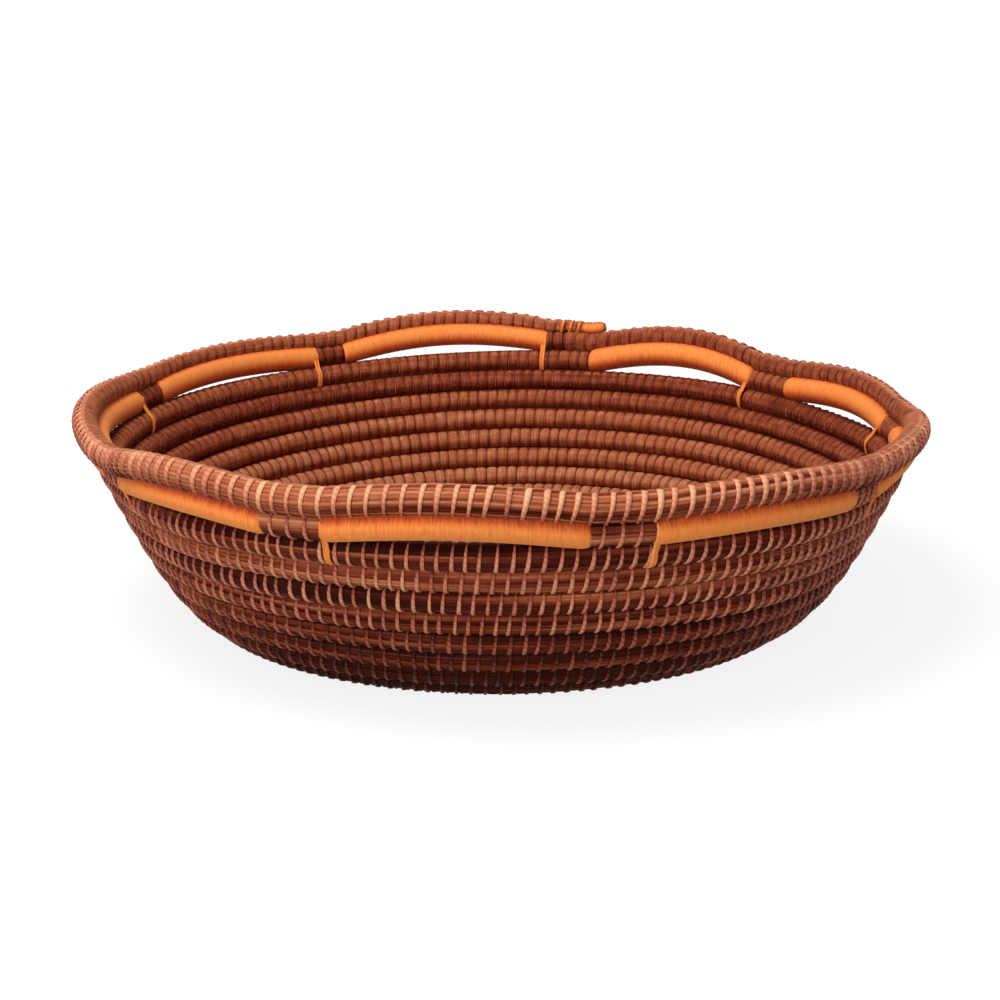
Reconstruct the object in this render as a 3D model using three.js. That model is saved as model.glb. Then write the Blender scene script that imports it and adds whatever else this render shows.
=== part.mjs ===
// A coiled pine needle basket: one bundle of needles, wound from the middle of the base to the rim, with
// orange thread wrapped round the nine low arches of its last round but one.
// Millimetres and degrees, +Z up. The origin is the middle of the face that the basket stands on, and -Y
// is the front. A place on the coil is given in rounds counted back from the end of the rim.

import * as THREE from "three";

// Driving dimensions: the needle bundle.
const COIL_PITCH = 7.2; // from the middle of one round to the middle of the next
const COIL_DIAMETER = 6.5;
const ARCH_CORE_DIAMETER = 5.4; // the same bundle, squeezed by the thread wound round it
const RIM_DIAMETER = 6.2; // pressed down on the wraps, so a little flatter than the wall's rounds
const RIM_START_DIAMETER = 5.2; // the first stretch of the rim, where the bundle is lean
const FILLING_FROM = 145; // where the rim starts to fill out, after its beginning
const FILLING_TO = 205; // and where it is full
const THIN_RIM_DIAMETER = 4.2; // the last stretch of the rim, where the needles run out
const THINNING_FROM = 240; // where the rim starts to thin, before its end
const THINNING_TO = 150; // and where it has thinned
const TAIL_END_DIAMETER = 2.6; // at the very end of the rim
const TAIL_LENGTH = 30;

// Driving dimensions: the shape of the basket.
const START_RADIUS = 7.2; // the middle of the bundle where the spiral begins
const FOOT_RADIUS = 79.5; // where the base turns up into the wall
const WALL_ROUNDS = 10.8;
const WALL_LEAN = 63; // slope of the wall at its top, from level
const FOOT_TIGHTNESS = 5.3; // how soon the wall reaches that slope
const LEAN_SWING = 1.7; // the wall leans out less by this at front and back, and more at the sides
const LEAN_SWING_AT = 83;
const RIM_STACK = 77.4; // slope from the arch coil up to the rim, which stands steeper than the wall
const RIM_JOIN = 22; // length over which the last round leaves the wall's slope for that one
const TAIL_AT = 72; // where the rim ends, round from +X
const SEAM_AT = 78.6; // where one stretch of the bundle passes into the next
const MIDDLE_SEAM = 9; // rounds down to where the lower wall passes into the middle wall
const UPPER_SEAM = 6; // and to where the middle wall passes into the upper wall
const REST_CUT = 0.5; // the flat worn under the base

// Driving dimensions: where the wall's top stands higher or lower than the rest, and where it is drawn in,
// each as an angle, a length, and how far round that angle it fades out.
const WALL_LIFTS = [
  [159, 1.7, 45],
  [22, -1.7, 32],
];
const WALL_DENTS = [
  [203, 3.2, 27],
  [338, 2.8, 30],
];
const DENT_ROUNDS = 9.3; // rounds up from the foot at which the wall is drawn in all the way
const RIM_OVERHANG = 7; // how much further the rim leans out there, in degrees for each mm

// Driving dimensions: the arches, each from where its wrap begins to where it ends, and its rise off the
// wall. They are drawn up by hand, so no two are alike.
const ARCHES = [
  [248, 280, 3.1],
  [287.7, 319.3, 1.3],
  [325.5, 356.5, 2.3],
  [4.5, 34.7, 2.8],
  [42.5, 74.2, 4.7],
  [82, 118.5, 3.6],
  [123.5, 158, 1.6],
  [164, 202, 1.2],
  [210, 240, 2.8],
];

// Driving dimensions: the threads.
const WRAP_WALL = 0.65; // the depth of the fine thread wound on an arch
const WRAP_LIP = 0.8; // length over which a wrap swells at each end
const TIE_WALL = 0.55;
const TIE_WIDTH = 2.2;
const TIE_REACH = 152; // how far a tie goes round the coil under it, each way from the top
const LASHING_DIAMETER = 0.5;
const LASHING_TURNS = 3;
const TAIL_THREAD_DIAMETER = 0.5;
const TAIL_THREAD_TURNS = 3;
const TAIL_THREAD_LENGTH = 9;
const TAIL_CAP_LENGTH = 8;
const TAIL_CAP_WALL = 0.45;

// Driving dimensions: the starting knot.
const KNOT_HEIGHT = 5.2;
const KNOT_FLOOR = 0.6; // how far the knot stays off the resting face
const KNOT_EDGE = 0.9; // how much its rounded edge draws in

// Clearances.
const SEAM_GAP = 0.3; // between two stretches of the bundle, end to end
const THREAD_GAP = 0.3; // between a thread and what it is wound round
const SEAT_GAP = 0.3; // between the rim and the wraps that it is sewn down on
const KNOT_GAP = 0.6; // round the starting knot

// How finely the curved pieces are faceted.
const ROUND_STEPS = 24; // along one round of the base and the wall
const RIM_STEPS = 2 * ROUND_STEPS; // along the rim, the arch coil and the round that carries the ties
const COIL_SIDES = 6;
const WRAP_SIDES = 10;
const TIE_STEPS = 14;
const CURL_STEPS = 8;
const LASHING_SIDES = 4;
const TAIL_THREAD_SIDES = 5;
const KNOT_STEPS = 24;
const PROFILE_STEPS = 50; // along one round, when the wall's shape is summed

const COIL_RADIUS = COIL_DIAMETER / 2;
const ARCH_CORE_RADIUS = ARCH_CORE_DIAMETER / 2;
const WRAP_RADIUS = ARCH_CORE_RADIUS + THREAD_GAP + WRAP_WALL;
const FLAT_TURN = Math.PI / COIL_SIDES; // turns a coil's section so that a flat faces the round below
const BASE_ROUNDS = (FOOT_RADIUS - START_RADIUS) / COIL_PITCH;
const ALL_ROUNDS = BASE_ROUNDS + WALL_ROUNDS;
const REST_HEIGHT = COIL_RADIUS - REST_CUT; // the middle of the base coil above the resting face
const SEAM_ROUND = (SEAM_AT - TAIL_AT) / 360;
const radians = THREE.MathUtils.degToRad;

const needles = new THREE.MeshStandardMaterial({ color: 0x5a3424, roughness: 0.62, metalness: 0 });
const orangeThread = new THREE.MeshStandardMaterial({ color: 0xef8536, roughness: 0.6, metalness: 0 });
const waxedThread = new THREE.MeshStandardMaterial({ color: 0xb87558, roughness: 0.5, metalness: 0 });

// The slope of the wall so many rounds up from the foot, in radians.
function leanAt(climbed) {
  const left = THREE.MathUtils.clamp(1 - climbed / WALL_ROUNDS, 0, 1);
  return radians(WALL_LEAN) * (1 - left ** FOOT_TIGHTNESS);
}

// The wall's middle line as steps outward and upward from the foot, summed a pitch at a time.
function wallProfile() {
  const steps = Math.ceil(WALL_ROUNDS * PROFILE_STEPS);
  const points = [{ out: 0, up: 0 }];
  for (let i = 0; i < steps; i++) {
    const lean = leanAt((i + 0.5) / PROFILE_STEPS);
    const length = COIL_PITCH / PROFILE_STEPS;
    const last = points[i];
    points.push({ out: last.out + length * Math.cos(lean), up: last.up + length * Math.sin(lean) });
  }
  return points;
}

const WALL_PROFILE = wallProfile();

function profileAt(climbed) {
  const place = THREE.MathUtils.clamp(climbed * PROFILE_STEPS, 0, WALL_PROFILE.length - 1);
  const i = Math.min(Math.floor(place), WALL_PROFILE.length - 2);
  const [low, high] = [WALL_PROFILE[i], WALL_PROFILE[i + 1]];
  return {
    out: THREE.MathUtils.lerp(low.out, high.out, place - i),
    up: THREE.MathUtils.lerp(low.up, high.up, place - i),
  };
}

// How far the arch round and the rim stand off the wall at an angle: a smooth hump on each arch.
function riseAt(angle) {
  const turned = THREE.MathUtils.euclideanModulo(angle, 360);
  for (const [from, to, rise] of ARCHES) {
    const share = (turned - from) / (to - from);
    if (share > 0 && share < 1) return rise * Math.sin(Math.PI * share);
  }
  return 0;
}

// The sum of smooth swells at an angle.
function swellAt(angle, swells) {
  let total = 0;
  for (const [middle, length, reach] of swells) {
    const away = Math.abs(THREE.MathUtils.euclideanModulo(angle - middle + 180, 360) - 180);
    const share = THREE.MathUtils.clamp(away / reach, 0, 1);
    total += length * Math.cos((share * Math.PI) / 2) ** 2;
  }
  return total;
}

// How far the wall stands higher at an angle, so many rounds up from the foot, and how far it is drawn in.
function liftAt(angle, climbed) {
  return swellAt(angle, WALL_LIFTS) * THREE.MathUtils.clamp(climbed / WALL_ROUNDS, 0, 1);
}

function dentAt(angle, climbed) {
  return swellAt(angle, WALL_DENTS) * THREE.MathUtils.clamp(climbed / DENT_ROUNDS, 0, 1) ** 2;
}

// The slope from the arch coil up to the rim at an angle, in radians.
function stackAt(angle) {
  return radians(RIM_STACK - RIM_OVERHANG * swellAt(angle, WALL_DENTS)) + swingAt(angle);
}

// How much the wall's lean departs from its mean at an angle, in radians.
function swingAt(angle) {
  return radians(LEAN_SWING) * Math.cos(2 * radians(angle - LEAN_SWING_AT));
}

// The bundle's frame at an angle: alongWall points to the next round up, and outward out of the basket.
function frameAt(middle, angle, lean) {
  const away = new THREE.Vector3(Math.cos(radians(angle)), Math.sin(radians(angle)), 0);
  const higher = new THREE.Vector3(0, 0, 1);
  return {
    middle,
    alongWall: away.clone().multiplyScalar(Math.cos(lean)).addScaledVector(higher, Math.sin(lean)),
    outward: away.clone().multiplyScalar(Math.sin(lean)).addScaledVector(higher, -Math.cos(lean)),
  };
}

// The bundle on the base or the wall, at a round counted back from the rim's end.
function onWall(round) {
  const angle = TAIL_AT + 360 * round;
  const climbed = WALL_ROUNDS - round;
  const swing = swingAt(angle);
  const lean = climbed > 0 ? leanAt(climbed) + swing * Math.min(climbed, 1) : 0;
  const { out, up } = profileAt(climbed);
  const rise = liftAt(angle, climbed) + (round < 2 + SEAM_ROUND ? riseAt(angle) : 0);
  const wallOut = out + rise * Math.cos(radians(WALL_LEAN));
  const wallUp = up + rise * Math.sin(radians(WALL_LEAN));
  const onSlope = FOOT_RADIUS + wallOut * Math.cos(swing) - wallUp * Math.sin(swing);
  const radius = climbed > 0 ? onSlope - dentAt(angle, climbed) : FOOT_RADIUS + climbed * COIL_PITCH;
  const height = REST_HEIGHT + wallOut * Math.sin(swing) + wallUp * Math.cos(swing);
  const [x, y] = [radius * Math.cos(radians(angle)), radius * Math.sin(radians(angle))];
  return frameAt(new THREE.Vector3(x, y, height), angle, lean);
}

// The bundle at any round. The last round is the rim, seated on the wraps of the round below it.
function bundleAt(round) {
  const wall = onWall(round);
  if (round >= 1 + SEAM_ROUND) return wall;
  const angle = TAIL_AT + 360 * round;
  const seated = frameAt(bundleAt(round + 1).middle, angle, stackAt(angle));
  const distance = WRAP_RADIUS + SEAT_GAP + rimRadius(round) * Math.cos(FLAT_TURN);
  seated.middle.addScaledVector(seated.alongWall, distance);
  const share = THREE.MathUtils.smoothstep(1 + SEAM_ROUND - round, 0, rounds(RIM_JOIN));
  return {
    middle: wall.middle.lerp(seated.middle, share),
    alongWall: wall.alongWall.lerp(seated.alongWall, share).normalize(),
    outward: wall.outward.lerp(seated.outward, share).normalize(),
  };
}

// The share of a round that a length takes up, near the rim and at the foot.
const ARCH_COIL_REACH = Math.hypot(onWall(1 + SEAM_ROUND).middle.x, onWall(1 + SEAM_ROUND).middle.y);
function rounds(length, radius = ARCH_COIL_REACH) {
  return length / (2 * Math.PI * radius);
}

// The radius of the rim coil: lean at its start, then full, then thinner, then tapering to its end.
function rimRadius(round) {
  const run = 1 + SEAM_ROUND - round;
  const filled = THREE.MathUtils.smoothstep(run, rounds(FILLING_FROM), rounds(FILLING_TO));
  const filledRadius = THREE.MathUtils.lerp(RIM_START_DIAMETER / 2, RIM_DIAMETER / 2, filled);
  const thinned = THREE.MathUtils.smoothstep(round, rounds(THINNING_TO), rounds(THINNING_FROM));
  const radius = THREE.MathUtils.lerp(THIN_RIM_DIAMETER / 2, filledRadius, thinned);
  const share = THREE.MathUtils.clamp(round / rounds(TAIL_LENGTH), 0, 1);
  return THREE.MathUtils.lerp(TAIL_END_DIAMETER / 2, radius, share);
}

// The rounds at which a stretch of the bundle has a ring of corners, on the same angles in every round:
// both ends, and all that lie between them by more than a least distance.
function stations(from, to, stepsPerRound, least = 0.1 / stepsPerRound) {
  const places = [from];
  const last = Math.floor((to - SEAM_ROUND) * stepsPerRound);
  for (let i = Math.ceil((from - SEAM_ROUND) * stepsPerRound); i <= last; i++) {
    const place = SEAM_ROUND + i / stepsPerRound;
    if (place - from > least && to - place > least) places.push(place);
  }
  places.push(to);
  return places;
}

// The faceted top rounds run straight from station to station, and what is seated on them follows that.
function seatAt(round) {
  const low = SEAM_ROUND + Math.floor((round - SEAM_ROUND) * RIM_STEPS) / RIM_STEPS;
  const share = (round - low) * RIM_STEPS;
  const [a, b] = [bundleAt(low), bundleAt(low + 1 / RIM_STEPS)];
  return {
    middle: a.middle.lerp(b.middle, share),
    alongWall: a.alongWall.lerp(b.alongWall, share).normalize(),
    outward: a.outward.lerp(b.outward, share).normalize(),
  };
}

// A point beside the bundle's middle: so far from it, at so many radians from alongWall towards outward.
function beside(bundle, distance, turn) {
  return bundle.middle
    .clone()
    .addScaledVector(bundle.alongWall, distance * Math.cos(turn))
    .addScaledVector(bundle.outward, distance * Math.sin(turn));
}

// A ring of corners round the bundle's middle, the first of them at a turn from alongWall.
function ringRound(bundle, radius, sides, first = 0) {
  return Array.from({ length: sides }, (_, i) => beside(bundle, radius, first + (i / sides) * 2 * Math.PI));
}

// A closed skin over rings of equal length. Each ring joins the next, and either the last ring joins the
// first, or a flat cap closes each end.
function skin(rings, looped = false) {
  const sides = rings[0].length;
  const index = [];
  for (let i = 0; i < (looped ? rings.length : rings.length - 1); i++) {
    const here = i * sides;
    const next = ((i + 1) % rings.length) * sides;
    for (let j = 0; j < sides; j++) {
      const k = (j + 1) % sides;
      index.push(here + j, next + j, next + k, here + j, next + k, here + k);
    }
  }
  const end = (rings.length - 1) * sides;
  for (let j = 1; !looped && j < sides - 1; j++) {
    index.push(0, j, j + 1, end, end + j + 1, end + j);
  }
  return facingOut(rings.flat(), index);
}

// The geometry of a closed skin, turned so that its faces point out.
function facingOut(points, index) {
  let volume = 0;
  for (let i = 0; i < index.length; i += 3) {
    const [a, b, c] = index.slice(i, i + 3).map((corner) => points[corner]);
    volume += a.dot(b.clone().cross(c));
  }
  const geometry = new THREE.BufferGeometry().setFromPoints(points);
  geometry.setIndex(volume > 0 ? index : index.toReversed());
  geometry.computeVertexNormals();
  return geometry;
}

// A stretch of the bundle through its rounds, with its radius at each, cut flat where the basket rests.
function coil(places, radiusAt, first = 0) {
  const rings = places.map((round) => ringRound(bundleAt(round), radiusAt(round), COIL_SIDES, first));
  for (const corner of rings.flat()) corner.z = Math.max(corner.z, 0);
  return skin(rings);
}

// The least gap of a tube to itself, between points on its straight steps that lie half a turn or more
// apart. Each sample has its place in turns, its middle and its radius.
function leastGap(samples) {
  let least = Infinity;
  for (const a of samples) {
    for (const b of samples) {
      if (b.place - a.place < 0.5) continue;
      least = Math.min(least, a.point.distanceTo(b.point) - a.radius - b.radius);
    }
  }
  return least;
}

function printGap(name, places, points, radiusAt) {
  const samples = points.slice(1).flatMap((point, i) =>
    [0, 0.5].map((share) => ({
      place: THREE.MathUtils.lerp(places[i], places[i + 1], share),
      point: points[i].clone().lerp(point, share),
      radius: radiusAt(THREE.MathUtils.lerp(places[i], places[i + 1], share)),
    })),
  );
  console.log(name + ", least gap to itself: " + leastGap(samples).toFixed(2) + " mm");
}

function printCoilGap(name, places, radiusAt) {
  const points = places.map((round) => bundleAt(round).middle);
  printGap(name, places, points, radiusAt);
}

// A thread wound round the bundle as one unbroken tube of curls, at a distance that may change.
function windingRound({ name, from, to, turns, diameter, sides, distanceAt }) {
  const steps = turns * CURL_STEPS;
  const path = Array.from({ length: steps + 1 }, (_, i) => {
    const round = THREE.MathUtils.lerp(from, to, i / steps);
    return beside(seatAt(round), distanceAt(round), (i / CURL_STEPS) * 2 * Math.PI);
  });
  printGap(name, Array.from(path, (_, i) => i / CURL_STEPS), path, () => diameter / 2);
  const rings = path.map((point, i) => {
    const forward = path[Math.min(i + 1, steps)].clone().sub(path[Math.max(i - 1, 0)]).normalize();
    const middle = seatAt(THREE.MathUtils.lerp(from, to, i / steps)).middle;
    const across = point.clone().sub(middle);
    across.addScaledVector(forward, -across.dot(forward)).normalize();
    const side = forward.clone().cross(across);
    return Array.from({ length: sides }, (_, j) => {
      const turn = (j / sides) * 2 * Math.PI;
      return point
        .clone()
        .addScaledVector(across, (diameter / 2) * Math.cos(turn))
        .addScaledVector(side, (diameter / 2) * Math.sin(turn));
    });
  });
  return skin(rings);
}

const basket = new THREE.Group();

function add(name, geometry, material) {
  const mesh = new THREE.Mesh(geometry, material);
  mesh.name = name;
  basket.add(mesh);
}

// The round of the arch coil at an angle.
function archRound(angle) {
  return 1 + SEAM_ROUND + THREE.MathUtils.euclideanModulo(angle - SEAM_AT, 360) / 360;
}

// The starting knot: the folded needle ends inside the first round, with the spiral's own outline.
function startingKnot() {
  const outline = Array.from({ length: KNOT_STEPS }, (_, i) => {
    const round = ALL_ROUNDS - i / KNOT_STEPS;
    const reach = START_RADIUS + (i / KNOT_STEPS) * COIL_PITCH - COIL_RADIUS - KNOT_GAP;
    return { turn: radians(TAIL_AT + 360 * round), reach };
  });
  const ring = (drawnIn, height) =>
    outline.map(({ turn, reach }) => {
      const radius = reach - drawnIn;
      return new THREE.Vector3(radius * Math.cos(turn), radius * Math.sin(turn), height);
    });
  const top = KNOT_FLOOR + KNOT_HEIGHT;
  return skin([
    ring(KNOT_EDGE, KNOT_FLOOR),
    ring(0, KNOT_FLOOR + KNOT_EDGE),
    ring(0, top - KNOT_EDGE),
    ring(KNOT_EDGE, top),
  ]);
}
add("centre_knot", startingKnot(), waxedThread);

// The base coil: the flat spiral that the basket stands on.
function baseCoil() {
  const places = stations(WALL_ROUNDS + rounds(SEAM_GAP, FOOT_RADIUS), ALL_ROUNDS, ROUND_STEPS);
  printCoilGap("base_coil", places, () => COIL_RADIUS);
  return coil(places, () => COIL_RADIUS);
}
add("base_coil", baseCoil(), needles);

// The lower wall turns up out of the base, and the middle wall carries on from it at a steeper lean.
function wallCoil(name, top, foot) {
  const places = stations(top + rounds(SEAM_GAP), foot, ROUND_STEPS);
  printCoilGap(name, places, () => COIL_RADIUS);
  return coil(places, () => COIL_RADIUS);
}
for (const [name, top, foot] of [
  ["lower_wall_coil", MIDDLE_SEAM + SEAM_ROUND, WALL_ROUNDS],
  ["middle_wall_coil", UPPER_SEAM + SEAM_ROUND, MIDDLE_SEAM + SEAM_ROUND],
]) {
  add(name, wallCoil(name, top, foot), needles);
}

// The upper wall ends in the round under the arches, which carries the ties and has finer steps for them.
function upperWallCoil() {
  const fine = stations(2 + SEAM_ROUND + rounds(SEAM_GAP), 3 + SEAM_ROUND, RIM_STEPS);
  const plain = stations(3 + SEAM_ROUND, UPPER_SEAM + SEAM_ROUND, ROUND_STEPS).slice(1);
  const places = [...fine, ...plain];
  printCoilGap("upper_wall_coil", places, () => COIL_RADIUS);
  return coil(places, () => COIL_RADIUS);
}
add("upper_wall_coil", upperWallCoil(), needles);

// The arch coil: the round under the rim, which leaves the wall in nine low arches.
function archCoil() {
  const places = stations(1 + SEAM_ROUND + rounds(SEAM_GAP), 2 + SEAM_ROUND, RIM_STEPS);
  return coil(places, () => ARCH_CORE_RADIUS);
}
add("arch_coil", archCoil(), needles);

// The rim coil: the last round, whose thin tail lies on its own beginning.
function rimCoil() {
  const places = stations(0, 1 + SEAM_ROUND, RIM_STEPS);
  printCoilGap("rim_coil", places, rimRadius);
  return coil(places, rimRadius, FLAT_TURN);
}
add("rim_coil", rimCoil(), needles);

// A wrap: a close sleeve of fine orange thread on one arch, swelling from a thin lip at each end.
function archWrap(from, to) {
  const inside = (ARCH_CORE_RADIUS + THREAD_GAP) / Math.cos(Math.PI / WRAP_SIDES);
  const lip = WRAP_RADIUS - WRAP_WALL / 3;
  const swollen = stations(from + rounds(WRAP_LIP), to - rounds(WRAP_LIP), RIM_STEPS);
  const bore = stations(from, to, RIM_STEPS);
  return skin(
    [
      ringRound(seatAt(from), lip, WRAP_SIDES),
      ...swollen.map((round) => ringRound(seatAt(round), WRAP_RADIUS, WRAP_SIDES)),
      ringRound(seatAt(to), lip, WRAP_SIDES),
      ...bore.map((round) => ringRound(seatAt(round), inside, WRAP_SIDES)).reverse(),
    ],
    true,
  );
}

// A tie: the wrap's thread taken over the round below, as a band that ends in the groove under it.
function wrapTie(round) {
  const distance = COIL_RADIUS + THREAD_GAP;
  const halfWidth = rounds(TIE_WIDTH / 2);
  const rings = Array.from({ length: TIE_STEPS + 1 }, (_, i) => {
    const turn = radians(THREE.MathUtils.lerp(-TIE_REACH, TIE_REACH, i / TIE_STEPS));
    const [low, high] = [seatAt(round - halfWidth), seatAt(round + halfWidth)];
    return [
      beside(low, distance, turn),
      beside(high, distance, turn),
      beside(high, distance + TIE_WALL, turn),
      beside(low, distance + TIE_WALL, turn),
    ];
  });
  return skin(rings);
}

// The lashing of one gap: three turns of waxed thread round the arch coil, from one wrap to the next tie.
function gapLashing(name, from, to) {
  const distance = ARCH_CORE_RADIUS + THREAD_GAP + LASHING_DIAMETER / 2;
  return windingRound({
    name,
    from,
    to,
    turns: LASHING_TURNS,
    diameter: LASHING_DIAMETER,
    sides: LASHING_SIDES,
    distanceAt: () => distance,
  });
}

// Each arch has its wrap, the tie at the wrap's first end, and a lashing in the gap after its last end.
ARCHES.forEach(([from, to], i) => {
  const number = i + 1;
  const [begin, end] = [archRound(from), archRound(to)];
  const tieSpace = rounds(TIE_WIDTH + 2 * THREAD_GAP);
  add("arch_wrap_" + number, archWrap(begin, end), orangeThread);
  add("wrap_tie_" + number, wrapTie(begin - tieSpace / 2 + 1), orangeThread);
  const next = archRound(ARCHES[(i + 1) % ARCHES.length][0]);
  const limit = next > end ? next - tieSpace : 2 + SEAM_ROUND;
  const inset = rounds(THREAD_GAP + LASHING_DIAMETER / 2);
  const lashing = "gap_lashing_" + number;
  add(lashing, gapLashing(lashing, end + inset, limit - inset), waxedThread);
});

// The tail thread: open turns of orange thread over the thinning end of the rim.
function tailThread() {
  const from = rounds(TAIL_CAP_LENGTH + THREAD_GAP + TAIL_THREAD_DIAMETER / 2);
  return windingRound({
    name: "tail_thread",
    from,
    to: from + rounds(TAIL_THREAD_LENGTH),
    turns: TAIL_THREAD_TURNS,
    diameter: TAIL_THREAD_DIAMETER,
    sides: TAIL_THREAD_SIDES,
    distanceAt: (round) => rimRadius(round) + THREAD_GAP + TAIL_THREAD_DIAMETER / 2,
  });
}
add("tail_thread", tailThread(), orangeThread);

// The tail cap: the same thread wound close over the very end, as a cup with a rounded tip.
function tailCap() {
  const tip = -rounds(THREAD_GAP);
  const mouth = rounds(TAIL_CAP_LENGTH);
  const insideAt = (round) => (rimRadius(round) + THREAD_GAP) / Math.cos(Math.PI / WRAP_SIDES);
  const outsideAt = (round) => rimRadius(round) + THREAD_GAP + TAIL_CAP_WALL;
  return skin([
    ringRound(seatAt(tip), insideAt(tip), WRAP_SIDES),
    ringRound(seatAt(mouth), insideAt(mouth), WRAP_SIDES),
    ringRound(seatAt(mouth), outsideAt(mouth), WRAP_SIDES),
    ringRound(seatAt(tip), outsideAt(tip), WRAP_SIDES),
    ringRound(seatAt(tip - rounds(TAIL_CAP_WALL)), outsideAt(tip) - TAIL_CAP_WALL, WRAP_SIDES),
  ]);
}
add("tail_cap", tailCap(), orangeThread);

export default basket;
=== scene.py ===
import math

import bpy
import numpy as np
from mathutils import Matrix, Vector


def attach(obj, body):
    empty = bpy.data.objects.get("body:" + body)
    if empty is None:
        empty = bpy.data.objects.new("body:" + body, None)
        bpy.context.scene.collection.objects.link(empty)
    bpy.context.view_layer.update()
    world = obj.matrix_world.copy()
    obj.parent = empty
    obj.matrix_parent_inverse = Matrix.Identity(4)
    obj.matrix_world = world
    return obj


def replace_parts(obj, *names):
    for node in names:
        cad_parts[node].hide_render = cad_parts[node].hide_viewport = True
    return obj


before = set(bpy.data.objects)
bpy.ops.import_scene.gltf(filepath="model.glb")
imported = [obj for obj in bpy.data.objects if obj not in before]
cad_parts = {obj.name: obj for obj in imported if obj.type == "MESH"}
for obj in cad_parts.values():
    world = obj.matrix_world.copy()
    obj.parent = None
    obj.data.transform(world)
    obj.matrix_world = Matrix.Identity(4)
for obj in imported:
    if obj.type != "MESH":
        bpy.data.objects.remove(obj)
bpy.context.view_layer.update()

# The camera.
# It stands in front of the basket, a little above the rim, and looks down into it.
# Its place was worked out from the outline of the rim and from the slope of the wall.
CAMERA_ELEVATION = math.radians(12.638)
CAMERA_DISTANCE = 0.5713
CAMERA_AIM_HEIGHT = 0.0584
CAMERA_ROLL = math.radians(-0.692)
CAMERA_LENS_MM = 68.167
CAMERA_SHIFT = (-0.00313, -0.08945)

camera_data = bpy.data.cameras.new("camera")
camera_data.lens = CAMERA_LENS_MM
camera_data.shift_x, camera_data.shift_y = CAMERA_SHIFT
camera = bpy.data.objects.new("camera", camera_data)
bpy.context.scene.collection.objects.link(camera)
camera_back = Vector((0, -math.cos(CAMERA_ELEVATION), math.sin(CAMERA_ELEVATION)))
camera_turn = (-camera_back).to_track_quat("-Z", "Y").to_matrix().to_4x4()
camera_place = Matrix.Translation(Vector((0, 0, CAMERA_AIM_HEIGHT)) + camera_back * CAMERA_DISTANCE)
camera.matrix_world = camera_place @ camera_turn @ Matrix.Rotation(CAMERA_ROLL, 4, "Z")
bpy.context.scene.camera = camera

# The bundle of needles.
# One bundle of dried pine needles is wound from the middle of the base to the rim. It lies in a spiral
# that has no primitive, so its skin is laid ring by ring, with a ridge for each needle that shows.
MM = 0.001
COIL_PITCH = 7.2
START_RADIUS = 7.2
FOOT_RADIUS = 79.5
WALL_ROUNDS = 10.8
WALL_LEAN = math.radians(63)
FOOT_TIGHTNESS = 5.3
LEAN_SWING = math.radians(1.7)
LEAN_SWING_AT = math.radians(83)
# The wall's swells: the angle of the middle of each, its size in mm, and how far round it reaches.
WALL_LIFTS = [(159, 1.7, 45), (22, -1.7, 32)]  # where the wall's top stands higher or lower
WALL_DENTS = [(203, 3.2, 27), (338, 2.8, 30)]  # where the wall stands further in
DENT_ROUNDS = 9.3  # rounds up from the foot at which the dents are full
RIM_OVERHANG = math.radians(7.0)  # how much further the rim leans out for each mm of them
RIM_STACK = math.radians(77.4)  # slope from the arch coil up to the rim
RIM_JOIN = 22.0  # length over which the last round leaves the wall's slope for that one
TAIL_AT = 72.0  # the angle at which the rim ends, in degrees
SEAM_AT = 78.6  # and that at which it begins
REST_HEIGHT = 2.75  # from the floor to the middle of the bundle in the base
SEAT = 3.95  # from the middle of the arch coil to where the rim is seated on the wraps
SEAT_RADIUS = 2.69  # from there to the middle of the rim, which is less where the rim is thin
START_SEAT_RADIUS = 2.25
THIN_SEAT_RADIUS = 1.82
TAIL_SEAT_RADIUS = 1.13
THINNING = (150.0, 240.0)  # lengths from the rim's end between which the rim thins
FILLING = (145.0, 205.0)  # lengths from its beginning between which it fills out
TAIL_LENGTH = 30.0
ARCHES = [  # each from where its wrap begins to where it ends, in degrees, and its rise off the wall in mm
    (248, 280, 3.1),
    (287.7, 319.3, 1.3),
    (325.5, 356.5, 2.3),
    (4.5, 34.7, 2.8),
    (42.5, 74.2, 4.7),
    (82, 118.5, 3.6),
    (123.5, 158, 1.6),
    (164, 202, 1.2),
    (210, 240, 2.8),
]
ALL_ROUNDS = (FOOT_RADIUS - START_RADIUS) / COIL_PITCH + WALL_ROUNDS
KNOT_ROUNDS = 0.998  # the starting knot: the bundle's first turn, wound in to the middle
FIRST_ROUND = ALL_ROUNDS + KNOT_ROUNDS
SEAM_ROUND = (SEAM_AT - TAIL_AT) / 360


def steepened(climbed):
    """The share of its full slope that the wall has so many rounds up from the foot."""
    return 1 - np.clip(1 - climbed / WALL_ROUNDS, 0, 1) ** FOOT_TIGHTNESS


PROFILE_STEP = 0.02  # rounds between the points at which the wall's profile is worked out
profile_climbed = np.arange(0, WALL_ROUNDS + 2 * PROFILE_STEP, PROFILE_STEP)
profile_lean = WALL_LEAN * steepened(profile_climbed + PROFILE_STEP / 2)
profile_out = COIL_PITCH * PROFILE_STEP * np.concatenate([[0], np.cumsum(np.cos(profile_lean))[:-1]])
profile_up = COIL_PITCH * PROFILE_STEP * np.concatenate([[0], np.cumsum(np.sin(profile_lean))[:-1]])


def rise_at(angle):
    """How far the two top rounds stand off the wall at an angle in degrees, in mm."""
    turned = np.mod(angle, 360)
    rise = np.zeros_like(turned)
    for begin, end, height in ARCHES:
        rise += height * np.sin(np.pi * np.clip((turned - begin) / (end - begin), 0, 1))
    return rise


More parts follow.
